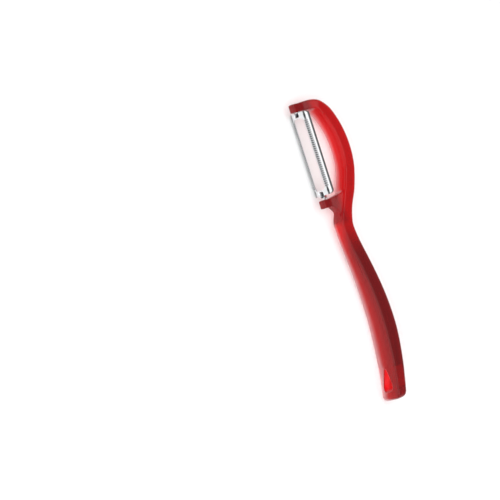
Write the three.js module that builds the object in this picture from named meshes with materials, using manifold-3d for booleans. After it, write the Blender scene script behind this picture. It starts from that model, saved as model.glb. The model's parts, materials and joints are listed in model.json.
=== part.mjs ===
// Swivel peeler: a one-piece transparent handle with a bow and two arms, and a slotted, serrated
// steel blade whose rolled journals turn in the arms' holes. Millimetres, +Z up.
//
// The peeler lies on its side. X runs along the blade axis towards the head, Y points out of the
// bow towards the food, and Z crosses the handle. While the pieces are built, the origin is where
// the blade axis crosses the middle of the upper arm; the last lines move it to the bottom centre.

import * as THREE from 'three';
import { mergeVertices } from 'three/addons/utils/BufferGeometryUtils.js';
import Module from 'manifold-3d';

const wasm = await Module();
wasm.setup();

// ---- Driving dimensions -------------------------------------------------------------------------

// Arms
const pivotSpan = 65.2; // between the arms' middle planes
const armThickness = 5.2; // along the blade axis
const armWidth = 4.8; // across, at the tips
const armReach = 5.2; // from the blade axis to the tips
const armTipRadius = 1.2;

// Bow
const bowClearance = 23.9; // from the blade axis to the bow's inner face, at its middle
const bowShoulder = 12.6; // from the blade axis to the inner corners where the arms start
const bowDepth = 8.1;
const bowWidth = 11;

// Neck, just below the lower arm
const neckDrop = 20.6; // from the lower arm's middle plane
const neckFront = 3.9; // from the blade axis back to its front edges
const neckDepth = 9.3;
const neckWidth = 9;

// Grip
const gripLength = 135; // from the lower arm's middle plane to the end
const gripFront = 10; // from the blade axis back to the grip's front edges, at its belly
const gripDepth = 10.5;
const gripWidth = 15.6;
const endFront = 1.6; // from the blade axis back to the front edges, at the end
const endDepth = 7.3;
const endRadius = 3;

// Section
const frontCornerRadius = 1.1;
const backCornerRadius = 2.2;
const crownShare = 0.07; // how far the front and back faces bulge, as a share of the width

// Hanging hole: a triangle with round corners, its point towards the head
const holeLength = 14.6;
const holeWidth = 7.8;
const holeWall = 6; // from the hole to the end of the grip
const holePointRadius = 0.9;
const holeBaseRadius = 2.4;

// Blade
const sheet = 0.5;
const bladeHalfWidth = 7.6;
const bladeRise = 4.1; // underside of the crown above the outer edges
const bladeUpperGap = 0.8; // between the strip and the upper arm
const bladeLowerGap = 2.9; // between the strip and the lower arm
const bladeCornerRadius = 2;
const upperWeb = 3.9;
const lowerWeb = 3.6;
const slotWidth = 7;
const slotCornerRadius = 1.6;
const toothPitch = 1.4;
const toothDepth = 0.7;
const axisRise = 1.5; // of the blade axis above the strip's outer edges
const bladeTurn = THREE.MathUtils.degToRad(9.5); // how the loose blade lies, about its axis

// Journals, rolled from the blade's end tongues
const journalRadius = 1.2;
const journalRecess = 0.3; // inside the arm's outer face
const gutterRadius = 1.7; // of the gutter where it leaves the web
const seamWidth = 0.25;
const runningGap = 0.3;

// ---- Solids -------------------------------------------------------------------------------------

const weldTolerance = 1e-4;

function toSolid(geometry) {
  const bare = geometry.index ? geometry.toNonIndexed() : geometry.clone();
  for (const name of Object.keys(bare.attributes)) {
    if (name !== 'position') bare.deleteAttribute(name);
  }
  const welded = mergeVertices(bare, weldTolerance);
  return new wasm.Manifold(
    new wasm.Mesh({
      numProp: 3,
      vertProperties: new Float32Array(welded.attributes.position.array),
      triVerts: new Uint32Array(welded.index.array),
    }),
  );
}

function toGeometry(solid) {
  const mesh = solid.getMesh();
  const geometry = new THREE.BufferGeometry();
  geometry.setAttribute('position', new THREE.BufferAttribute(mesh.vertProperties, mesh.numProp));
  geometry.setIndex(new THREE.BufferAttribute(mesh.triVerts, 1));
  geometry.computeVertexNormals();
  return geometry;
}

// A closed skin over a row of rings that have the same number of points.
function loft(rings) {
  const count = rings[0].length;
  const centre = (ring) => ring.reduce((sum, p) => sum.add(p), new THREE.Vector3()).divideScalar(count);
  const points = [...rings.flat(), centre(rings[0]), centre(rings.at(-1))];
  const firstCentre = points.length - 2;
  const lastCentre = points.length - 1;
  const lastRing = (rings.length - 1) * count;
  const index = [];
  for (let i = 0; i < count; i += 1) {
    const next = (i + 1) % count;
    for (let row = 0; row < lastRing; row += count) {
      index.push(row + i, row + next, row + count + i);
      index.push(row + next, row + count + next, row + count + i);
    }
    index.push(firstCentre, next, i);
    index.push(lastCentre, lastRing + i, lastRing + next);
  }
  const geometry = new THREE.BufferGeometry().setFromPoints(points);
  geometry.setIndex(index);
  return geometry;
}

// A shape drawn in any plane, extruded and then turned into place by a basis of three axes.
function extruded(shape, depth, basis, offset) {
  const geometry = new THREE.ExtrudeGeometry(shape, { depth, bevelEnabled: false, curveSegments: 8 });
  const matrix = new THREE.Matrix4().makeBasis(...basis).setPosition(offset);
  return toSolid(geometry.applyMatrix4(matrix));
}

const xAxis = new THREE.Vector3(1, 0, 0);
const yAxis = new THREE.Vector3(0, 1, 0);
const zAxis = new THREE.Vector3(0, 0, 1);

// ---- Handle -------------------------------------------------------------------------------------

const lowerArmX = -pivotSpan;
const bowMiddleX = -pivotSpan / 2;
const endX = lowerArmX - gripLength;
const neckX = lowerArmX - neckDrop;

// A ring across the handle, from a front point to a back point in the Z = 0 plane.
function sectionRing({ front, back, width, inset = 0 }) {
  const inward = back.clone().sub(front).normalize();
  const depth = back.distanceTo(front) - 2 * inset;
  const half = width / 2 - inset;
  const crown = crownShare * width;
  const fitted = (radius) => Math.max(Math.min(radius - inset, depth / 2.2, half * 0.9), 0.1);
  const ring = [];
  const add = (z, into) => {
    ring.push(front.clone().addScaledVector(inward, into + inset).add(new THREE.Vector3(0, 0, -z)));
  };
  const face = (level, bulge, side) => {
    for (const share of [-0.5, 0, 0.5]) {
      add(side * share * half, level - bulge * (1 - share * share));
    }
  };
  const corner = (radius, z, into, startAngle, steps) => {
    for (let i = 0; i <= steps; i += 1) {
      const angle = startAngle + (i / steps) * (Math.PI / 2);
      add(z + radius * Math.cos(angle), into + radius * Math.sin(angle));
    }
  };
  const rf = fitted(frontCornerRadius);
  const rb = fitted(backCornerRadius);
  face(0, crown, 1);
  corner(rf, half - rf, rf, -Math.PI / 2, 2);
  corner(rb, half - rb, depth - rb, 0, 3);
  face(depth, -crown, -1);
  corner(rb, rb - half, depth - rb, Math.PI / 2, 3);
  corner(rf, rf - half, rf, Math.PI, 2);
  return ring;
}

const at = (x, y) => new THREE.Vector3(x, y, 0);

// Stations of the long sweep: tip of the upper arm, corner, bow, junction, grip, end.
function sweepStations() {
  const inner = -armThickness / 2;
  const outer = armThickness / 2;
  const flare = (share) => THREE.MathUtils.lerp(armWidth, bowWidth, share);
  const arm = [
    { front: at(inner, armReach), back: at(outer, armReach), width: armWidth },
    { front: at(inner, -bowShoulder * 0.25), back: at(outer, -bowShoulder * 0.25), width: flare(0.02) },
    { front: at(inner, -bowShoulder * 0.6), back: at(outer, -bowShoulder * 0.6), width: flare(0.2) },
    { front: at(inner, -bowShoulder * 0.9), back: at(outer, -bowShoulder * 1.04), width: flare(0.6) },
  ];
  const halfChord = (pivotSpan - armThickness) / 2;
  const sagitta = bowClearance - bowShoulder;
  const innerRadius = (halfChord ** 2 + sagitta ** 2) / (2 * sagitta);
  const outerRadius = innerRadius + bowDepth;
  const centreY = innerRadius - bowClearance;
  const onArc = (radius, angle) => at(bowMiddleX + radius * Math.sin(angle), centreY - radius * Math.cos(angle));
  const arcEnd = Math.asin(halfChord / innerRadius);
  const bow = [];
  const bowSteps = 8;
  for (let i = 0; i <= bowSteps; i += 1) {
    const angle = arcEnd * THREE.MathUtils.lerp(0.74, -0.84, i / bowSteps);
    bow.push({ front: onArc(innerRadius, angle), back: onArc(outerRadius, angle), width: bowWidth });
  }
  const bowStart = bow[0];
  const corner = [
    {
      front: at(inner - 0.7, -bowShoulder - 0.7),
      back: at(outer - 1.3, -bowShoulder - bowDepth * 0.63),
      width: flare(0.88),
    },
    {
      front: onArc(innerRadius, arcEnd * 0.9),
      back: bowStart.back.clone().lerp(at(outer - 1.3, -bowShoulder - bowDepth * 0.63), 0.45),
      width: bowWidth,
    },
  ];
  // Each: share of the way from the bow's last station to the neck, for the front and the back.
  const bowLast = bow.at(-1);
  const neck = { front: at(neckX, -neckFront), back: at(neckX, -neckFront - neckDepth) };
  const waist = (share, sag) => ({
    front: bowLast.front.clone().lerp(neck.front, share).add(at(0, sag.front)),
    back: bowLast.back.clone().lerp(neck.back, share).add(at(0, sag.back)),
    width: THREE.MathUtils.lerp(bowWidth, neckWidth, share),
  });
  const junction = [
    waist(0.2, { front: 0.8, back: 1.2 }),
    waist(0.42, { front: 1.2, back: 2.1 }),
    waist(0.68, { front: 2.5, back: 2.0 }),
    waist(0.86, { front: 1.7, back: 1.3 }),
  ];
  // Each: share of the way down the grip, and shares of the way from neck to belly (or to the end)
  // for the front face and the depth, and from neck to full width.
  const gripX = (share) => THREE.MathUtils.lerp(neckX, endX, share);
  const gripStation = (share, front, depth, width, lean) => ({
    front: at(gripX(share) + lean, -front),
    back: at(gripX(share) - lean, -front - depth),
    width: THREE.MathUtils.lerp(neckWidth, gripWidth, width),
  });
  const { lerp } = THREE.MathUtils;
  const grip = [
    gripStation(0, neckFront, neckDepth, 0, 0),
    gripStation(0.085, lerp(neckFront, gripFront, 0.17), neckDepth, 0.12, -0.8),
    gripStation(0.17, lerp(neckFront, gripFront, 0.46), neckDepth, 0.34, -0.9),
    gripStation(0.28, lerp(neckFront, gripFront, 0.76), lerp(neckDepth, gripDepth, 0.3), 0.58, -0.7),
    gripStation(0.4, lerp(neckFront, gripFront, 0.95), lerp(neckDepth, gripDepth, 0.8), 0.78, -0.4),
    gripStation(0.52, gripFront, gripDepth, 0.91, 0.1),
    gripStation(0.645, lerp(endFront, gripFront, 0.91), gripDepth, 0.985, 0.6),
    gripStation(0.755, lerp(endFront, gripFront, 0.75), lerp(endDepth, gripDepth, 0.6), 1, 1.1),
    gripStation(0.86, lerp(endFront, gripFront, 0.49), lerp(endDepth, gripDepth, 0.2), 1, 1),
    gripStation(0.94, lerp(endFront, gripFront, 0.22), lerp(endDepth, gripDepth, 0.07), 1, 0.5),
    gripStation(1, endFront, endDepth, 1, 0),
  ];
  return [...arm, ...corner, ...bow, ...junction, ...grip];
}

// Rings that round off the end of a sweep: each is set in from the full section and pulled back.
function roundedEnd(station, outward, radius) {
  const steps = 3;
  const rings = [];
  for (let i = 0; i <= steps; i += 1) {
    const angle = (i / steps) * (Math.PI / 2);
    const back = outward.clone().multiplyScalar(-radius * (1 - Math.sin(angle)));
    rings.push(
      sectionRing({
        front: station.front.clone().add(back),
        back: station.back.clone().add(back),
        width: station.width,
        inset: radius * (1 - Math.cos(angle)),
      }),
    );
  }
  return rings;
}

const middleOf = ({ front, back }) => front.clone().lerp(back, 0.5);

function handleSweep() {
  const stations = sweepStations();
  const fronts = new THREE.CatmullRomCurve3(stations.map((station) => station.front));
  const backs = new THREE.CatmullRomCurve3(stations.map((station) => station.back));
  const widths = new THREE.CatmullRomCurve3(stations.map((station, i) => at(i, station.width)));
  const steps = 2 * (stations.length - 1);
  const rings = [];
  for (let i = 1; i < steps; i += 1) {
    const share = i / steps;
    const front = fronts.getPoint(share);
    const clearOfTip = front.y < armReach - armTipRadius;
    const clearOfEnd = front.x > endX + endRadius;
    if (clearOfTip && clearOfEnd) {
      rings.push(
        sectionRing({ front, back: backs.getPoint(share), width: widths.getPoint(share).y }),
      );
    }
  }
  const tip = roundedEnd(stations[0], yAxis, armTipRadius).reverse();
  const endDirection = middleOf(stations.at(-1)).sub(middleOf(stations.at(-2))).normalize();
  const end = roundedEnd(stations.at(-1), endDirection, endRadius);
  return toSolid(loft([...tip, ...rings, ...end]));
}

// The lower arm: rings square to Y, from the tip into the body, its lower side curving down.
function lowerArm() {
  const half = armThickness / 2;
  const spread = neckDrop - half;
  const root = -bowShoulder - bowDepth * 0.45;
  const station = (y, rise, drop, flare) => ({
    front: at(lowerArmX - half - drop * spread, y),
    back: at(lowerArmX + half + rise, y),
    width: THREE.MathUtils.lerp(armWidth, bowWidth, flare),
  });
  const stations = [
    station(armReach, 0, 0, 0),
    station(0, 0, 0.01, 0.01),
    station(-neckFront * 0.6, 0, 0.04, 0.04),
    station(-neckFront - 0.6, 0.1, 0.12, 0.12),
    station(-neckFront - 2.4, 0.2, 0.24, 0.25),
    station(-neckFront - 4.6, 0.5, 0.3, 0.45),
    station(-bowShoulder, 1.2, 0.2, 0.75),
    station(root, 1.6, 0.1, 0.8),
  ];
  const [tip, ...rest] = stations;
  const rings = [...roundedEnd(tip, yAxis, armTipRadius).reverse(), ...rest.map(sectionRing)];
  return toSolid(loft(rings));
}

function journalHole(x) {
  const depth = armThickness + 2;
  const hole = new THREE.CylinderGeometry(journalRadius + runningGap, journalRadius + runningGap, depth, 24);
  return toSolid(hole.rotateZ(Math.PI / 2).translate(x, 0, 0));
}

function hangingHole() {
  const baseX = endX + holeWall;
  const pointX = baseX + holeLength - holePointRadius;
  const cornerX = baseX + holeBaseRadius;
  const cornerZ = holeWidth / 2 - holeBaseRadius;
  // The flanks touch the point's circle and the base corners' circles.
  const run = pointX - cornerX;
  const reach = Math.hypot(run, cornerZ);
  const flank = Math.atan2(cornerZ, run) + Math.asin((holeBaseRadius - holePointRadius) / reach);
  const outline = new THREE.Shape();
  outline.absarc(pointX, 0, holePointRadius, -(Math.PI / 2 - flank), Math.PI / 2 - flank);
  outline.absarc(cornerX, cornerZ, holeBaseRadius, Math.PI / 2 - flank, Math.PI);
  outline.absarc(cornerX, -cornerZ, holeBaseRadius, Math.PI, 1.5 * Math.PI + flank);
  const depth = endDepth + gripFront + gripDepth;
  return extruded(outline, depth, [xAxis, zAxis.clone().negate(), yAxis], at(0, -depth));
}

function handleSolid() {
  return handleSweep()
    .add(lowerArm())
    .subtract(journalHole(0))
    .subtract(journalHole(lowerArmX))
    .subtract(hangingHole());
}

// ---- Blade --------------------------------------------------------------------------------------

// Built with its axis on X, its convex side towards +Y and its edges at Z = +-bladeHalfWidth.
const stripTop = -armThickness / 2 - bladeUpperGap;
const stripBottom = lowerArmX + armThickness / 2 + bladeLowerGap;
const slotTop = stripTop - upperWeb;
const slotBottom = stripBottom + lowerWeb;

// Height of the sheet's underside over its outer edges: nearly straight flanks, a round crown.
function sheetRise(z) {
  const share = Math.abs(z) / bladeHalfWidth;
  return bladeRise * (1 - share ** 2.2);
}

function archedStrip() {
  const steps = 14;
  const upper = [];
  const lower = [];
  for (let i = 0; i <= steps; i += 1) {
    const z = bladeHalfWidth * (1 - (2 * i) / steps);
    const y = sheetRise(z) - axisRise;
    lower.push(new THREE.Vector2(z, y));
    upper.unshift(new THREE.Vector2(z, y + sheet));
  }
  const profile = new THREE.Shape([...lower, ...upper]);
  return extruded(profile, stripTop - stripBottom, [zAxis, yAxis, xAxis.clone().negate()], at(stripTop, 0));
}

function roundedPlan() {
  const plan = new THREE.Shape();
  const r = bladeCornerRadius;
  plan.absarc(stripTop - r, bladeHalfWidth - r, r, 0, Math.PI / 2);
  plan.absarc(stripBottom + r, bladeHalfWidth - r, r, Math.PI / 2, Math.PI);
  plan.absarc(stripBottom + r, r - bladeHalfWidth, r, Math.PI, 1.5 * Math.PI);
  plan.absarc(stripTop - r, r - bladeHalfWidth, r, 1.5 * Math.PI, 2 * Math.PI);
  return plan;
}

// The slot's outline: round ends, and a row of teeth down each side.
function slotPlan() {
  const half = slotWidth / 2;
  const r = slotCornerRadius;
  const toothRun = slotTop - slotBottom - 2 * r;
  const teeth = Math.round(toothRun / toothPitch);
  const pitch = toothRun / teeth;
  const plan = new THREE.Shape();
  plan.absarc(slotTop - r, half - r, r, 0, Math.PI / 2);
  for (let i = 0; i < teeth; i += 1) {
    plan.lineTo(slotTop - r - (i + 0.5) * pitch, half + toothDepth);
    plan.lineTo(slotTop - r - (i + 1) * pitch, half);
  }
  plan.absarc(slotBottom + r, half - r, r, Math.PI / 2, Math.PI);
  plan.absarc(slotBottom + r, r - half, r, Math.PI, 1.5 * Math.PI);
  for (let i = teeth; i > 0; i -= 1) {
    plan.lineTo(slotTop - r - (i - 0.5) * pitch, -half - toothDepth);
    plan.lineTo(slotTop - r - (i - 1) * pitch, -half);
  }
  plan.absarc(slotTop - r, r - half, r, 1.5 * Math.PI, 2 * Math.PI);
  return plan;
}

// A plan in X and Z, cut right through the strip along Y.
function throughStrip(plan) {
  const depth = 2 * (bladeRise + sheet + axisRise);
  return extruded(plan, depth, [xAxis, zAxis.clone().negate(), yAxis], at(0, -depth / 2));
}

// A round bar along X whose radius and height change from the web to the journal.
function taperedBar(stations) {
  const sides = 20;
  const rings = stations.map(({ x, y, radius }) => {
    const ring = [];
    for (let i = 0; i < sides; i += 1) {
      const angle = (2 * Math.PI * i) / sides;
      ring.push(new THREE.Vector3(x, y + radius * Math.cos(angle), radius * Math.sin(angle)));
    }
    return ring;
  });
  return toSolid(loft(rings));
}

// One end of the blade: the gutter that dips out of the web, rolled into the journal.
function journal(webX, stripX, outerX) {
  const inward = Math.sign(webX - stripX);
  const ordered = (stations) => (inward > 0 ? stations.reverse() : stations);
  const skin = taperedBar(
    ordered([
      { x: webX, y: bladeRise - axisRise - gutterRadius + sheet, radius: gutterRadius },
      { x: stripX, y: 0.15, radius: journalRadius + 0.15 },
      { x: stripX - inward * bladeUpperGap * 0.5, y: 0, radius: journalRadius },
      { x: outerX, y: 0, radius: journalRadius },
    ]),
  );
  const bore = taperedBar(
    ordered([
      { x: webX + inward * 0.2, y: bladeRise - axisRise + sheet, radius: gutterRadius - sheet },
      { x: stripX, y: sheet, radius: journalRadius - sheet + 0.1 },
      { x: stripX - inward * bladeUpperGap * 0.5, y: 0, radius: journalRadius - sheet },
      { x: outerX - inward, y: 0, radius: journalRadius - sheet },
    ]),
  );
  const seam = toSolid(
    new THREE.BoxGeometry(Math.abs(outerX - stripX) + 1, journalRadius * 2, seamWidth).translate(
      (outerX + stripX) / 2 - inward * 0.5,
      journalRadius,
      0,
    ),
  );
  return { skin, cut: bore.add(seam) };
}

function bladeSolid() {
  const upper = journal(slotTop, stripTop, armThickness / 2 - journalRecess);
  const lower = journal(slotBottom, stripBottom, lowerArmX - armThickness / 2 + journalRecess);
  return archedStrip()
    .intersect(throughStrip(roundedPlan()))
    .add(upper.skin)
    .add(lower.skin)
    .subtract(throughStrip(slotPlan()))
    .subtract(upper.cut)
    .subtract(lower.cut);
}

// ---- Assembly -----------------------------------------------------------------------------------

const plastic = new THREE.MeshStandardMaterial({ color: 0xc3161f, roughness: 0.12, metalness: 0 });
const steel = new THREE.MeshStandardMaterial({ color: 0xc9cbcc, roughness: 0.28, metalness: 1 });

function piece(name, solid, material) {
  const mesh = new THREE.Mesh(toGeometry(solid), material);
  mesh.name = name;
  return mesh;
}

const peeler = new THREE.Group();
const handle = piece('handle', handleSolid(), plastic);
const blade = piece('blade', bladeSolid(), steel);
blade.rotation.x = bladeTurn;
peeler.add(handle, blade);

const bounds = new THREE.Box3().setFromObject(peeler, true);
const middle = bounds.getCenter(new THREE.Vector3());
peeler.position.set(-middle.x, -middle.y, -bounds.min.z);

export default peeler;
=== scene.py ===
"""Swivel peeler: a transparent moulded handle, and a slotted steel blade that turns in its arms.

Sizes are in millimetres, measured from the pivot: the point where the blade's axis crosses the
middle of the upper arm. X runs along the blade's axis towards the head, Y points out of the bow
towards the food, and Z crosses the handle.
"""

import json
import logging
import math
from collections.abc import Callable, Sequence
from dataclasses import dataclass
from enum import Enum
from typing import ClassVar

import bmesh
import bpy
import numpy as np
from mathutils import Matrix, Vector


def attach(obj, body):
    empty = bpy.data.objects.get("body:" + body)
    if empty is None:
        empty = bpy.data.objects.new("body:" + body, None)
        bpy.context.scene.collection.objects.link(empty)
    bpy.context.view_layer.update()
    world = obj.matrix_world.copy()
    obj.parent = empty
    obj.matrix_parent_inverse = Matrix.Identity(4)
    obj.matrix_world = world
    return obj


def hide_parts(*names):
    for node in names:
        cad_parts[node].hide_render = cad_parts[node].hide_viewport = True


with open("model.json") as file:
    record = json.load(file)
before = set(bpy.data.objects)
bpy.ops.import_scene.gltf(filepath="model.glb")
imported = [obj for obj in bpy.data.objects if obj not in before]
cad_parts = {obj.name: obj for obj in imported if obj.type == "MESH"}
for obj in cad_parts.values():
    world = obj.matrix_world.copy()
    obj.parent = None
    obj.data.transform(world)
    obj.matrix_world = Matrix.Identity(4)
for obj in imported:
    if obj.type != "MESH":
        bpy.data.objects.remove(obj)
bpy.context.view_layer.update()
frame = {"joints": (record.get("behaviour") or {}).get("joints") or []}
log = logging.getLogger("peeler")

MM = 0.001
PIVOT = Vector(frame["joints"][0]["pos_m"])

Pair = tuple[float, float]
Triple = tuple[float, float, float]
Socket = bpy.types.NodeSocket
Skin = Callable[[float, float], Vector]
Outline = Callable[[int, float], Pair]


class Body(Enum):
    """The bodies that a piece can ride on."""

    HANDLE = "root"
    BLADE = "swivel_blade"


class Slot(Enum):
    """The record's material slots."""

    PLASTIC = "red_plastic"
    STEEL = "blade_steel"


# ---- Node trees ---------------------------------------------------------------------------------


class NodeBench:
    """Adds nodes to one tree and joins them."""

    def __init__(self, tree: bpy.types.NodeTree) -> None:
        """Starts on a tree.

        Args:
            tree: The node tree of a material, a world or a node group.
        """
        self.tree = tree

    def add(self, kind: str, settings: dict | None = None, **inputs) -> bpy.types.Node:
        """Adds a node.

        Args:
            kind: The node's type, without its ShaderNode prefix.
            settings: The node's own properties.
            inputs: Its sockets as in fill: a value, or an output to link.

        Returns:
            The new node.
        """
        node = self.tree.nodes.new(f"ShaderNode{kind}")
        for name, value in (settings or {}).items():
            setattr(node, name, value)
        self.fill(node, **inputs)
        return node

    def fill(self, node: bpy.types.Node, **inputs) -> None:
        """Feeds a node's sockets, by name with _ for a space."""
        for name, value in inputs.items():
            self.feed(node.inputs[name.replace("_", " ")], value)

    def feed(self, socket: Socket, value: object) -> None:
        """Links an output to a socket, or sets the socket's own value.

        Args:
            socket: The input socket.
            value: An output socket, or a number, colour or vector.
        """
        if isinstance(value, Socket):
            self.tree.links.new(value, socket)
        else:
            socket.default_value = value

    def maths(self, operation: str, *values: object, clamp: bool = False) -> Socket:
        """Adds a Math node.

        Args:
            operation: The operation's name.
            values: One value or output for each operand.
            clamp: True to keep the result between 0 and 1.

        Returns:
            The node's output.
        """
        node = self.add("Math", {"operation": operation, "use_clamp": clamp})
        for socket, value in zip(node.inputs, values):
            self.feed(socket, value)
        return node.outputs[0]

    def spread(
        self, value: Socket, low: float, high: float, span: Pair = (0.0, 1.0), kind: str = "LINEAR"
    ) -> Socket:
        """Maps a value from its own range to another, and no further.

        Args:
            value: The output to map.
            low: The result at the range's start.
            high: The result at its end.
            span: The value's own range.
            kind: The node's interpolation type.

        Returns:
            The node's output.
        """
        ends = {"From Min": span[0], "From Max": span[1], "To Min": low, "To Max": high}
        return self.add("MapRange", {"interpolation_type": kind}, Value=value, **ends).outputs[0]

    def step(self, value: Socket, span: Pair) -> Socket:
        """Makes a soft step, which rises from 0 to 1 over a span of the value."""
        return self.spread(value, 0.0, 1.0, span, "SMOOTHSTEP")

    def blend(self, share: object, first: object, second: object) -> Socket:
        """Mixes two colours.

        Args:
            share: How much of the second colour shows.
            first: The first colour.
            second: The second colour.

        Returns:
            The mixed colour.
        """
        node = self.add("Mix", {"data_type": "RGBA"}, Factor=share, A=first, B=second)
        return node.outputs["Result"]

    def bump(self, size: Pair, height: Socket) -> Socket:
        """Adds a Bump node with a strength and a distance, and returns its normal."""
        return self.add("Bump", Strength=size[0], Distance=size[1], Height=height).outputs[0]


def new_group(
    name: str, inputs: dict[str, tuple[str, object]], outputs: dict[str, str]
) -> tuple[NodeBench, bpy.types.Node, bpy.types.Node]:
    """Starts a node group.

    Args:
        name: The group's name.
        inputs: Each input's socket type and value, by name.
        outputs: Each output's socket type, by name.

    Returns:
        A bench on the group's tree, its input node and its output node.
    """
    tree = bpy.data.node_groups.new(name, "ShaderNodeTree")
    for title, (kind, value) in inputs.items():
        socket = tree.interface.new_socket(title, in_out="INPUT", socket_type=f"NodeSocket{kind}")
        socket.default_value = value
    for title, kind in outputs.items():
        tree.interface.new_socket(title, in_out="OUTPUT", socket_type=f"NodeSocket{kind}")
    return NodeBench(tree), tree.nodes.new("NodeGroupInput"), tree.nodes.new("NodeGroupOutput")


def streaks_group() -> bpy.types.NodeTree:
    """Builds the group for fine lines that run one way, as rubbing and brushing leave them.

    Returns:
        The group's tree. Its output Height lies between 0 and 1.
    """
    inputs = {"Along": ("Float", 60.0), "Across": ("Float", 5000.0), "Turn": ("Float", 0.0)}
    bench, source, sink = new_group("Streaks", inputs, {"Height": "Float"})
    place = bench.add("TexCoord").outputs["Object"]
    spin = {"Vector": place, "Axis": (0, 1, 0), "Angle": source.outputs["Turn"]}
    turned = bench.add("VectorRotate", {"rotation_type": "AXIS_ANGLE"}, **spin)
    along, across = source.outputs["Along"], source.outputs["Across"]
    scale = bench.add("CombineXYZ", X=along, Y=across, Z=across)
    stretched = bench.add("VectorMath", {"operation": "MULTIPLY"})
    bench.feed(stretched.inputs[0], turned.outputs[0])
    bench.feed(stretched.inputs[1], scale.outputs[0])
    noise = bench.add("TexNoise", Vector=stretched.outputs[0], Scale=1.0, Detail=3.0, Roughness=0.6)
    bench.feed(sink.inputs["Height"], noise.outputs["Fac"])
    return bench.tree


def clouds_group() -> bpy.types.NodeTree:
    """Builds the group for soft blotches, as handling, settling dust and cooling leave them.

    Returns:
        The group's tree. Its output Mask lies between 0 and 1.
    """
    inputs = {"Scale": ("Float", 100.0), "Contrast": ("Float", 1.0)}
    bench, source, sink = new_group("Clouds", inputs, {"Mask": "Float"})
    place = bench.add("TexCoord").outputs["Object"]
    scale = source.outputs["Scale"]
    noise = bench.add("TexNoise", Vector=place, Scale=scale, Detail=4.0, Roughness=0.5)
    centred = bench.maths("SUBTRACT", noise.outputs["Fac"], 0.5)
    widened = bench.maths("MULTIPLY", centred, source.outputs["Contrast"])
    bench.feed(sink.inputs["Mask"], bench.maths("ADD", widened, 0.5, clamp=True))
    return bench.tree


@dataclass(frozen=True)
class Effects:
    """The node groups that the finishes share."""

    streaks: bpy.types.NodeTree
    clouds: bpy.types.NodeTree


@dataclass(frozen=True)
class Streaks:
    """One use of the streaks group: its scale along and across the lines, and their turn."""

    along: float
    across: float
    turn: float = 0.0

    def place(self, bench: NodeBench, effects: Effects) -> Socket:
        """Adds the group to a material's tree and returns its height."""
        sizes = {"Along": self.along, "Across": self.across, "Turn": self.turn}
        return bench.add("Group", {"node_tree": effects.streaks}, **sizes).outputs[0]


@dataclass(frozen=True)
class Clouds:
    """One use of the clouds group: its scale and its contrast."""

    scale: float
    contrast: float = 1.0

    def place(self, bench: NodeBench, effects: Effects) -> Socket:
        """Adds the group to a material's tree and returns its mask."""
        sizes = {"Scale": self.scale, "Contrast": self.contrast}
        return bench.add("Group", {"node_tree": effects.clouds}, **sizes).outputs[0]


# ---- Finishes -----------------------------------------------------------------------------------


def new_material(name: str) -> tuple[bpy.types.Material, NodeBench, bpy.types.Node, bpy.types.Node]:
    """Starts a node material.

    Args:
        name: The material's name.

    Returns:
        The material, a bench on its tree, its Principled node and its output node.
    """
    material = bpy.data.materials.new(name)
    material.use_nodes = True
    tree = material.node_tree
    tree.nodes.clear()
    bench = NodeBench(tree)
    principled = bench.add("BsdfPrincipled")
    output = bench.add("OutputMaterial")
    bench.feed(output.inputs["Surface"], principled.outputs[0])
    return material, bench, principled, output


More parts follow.
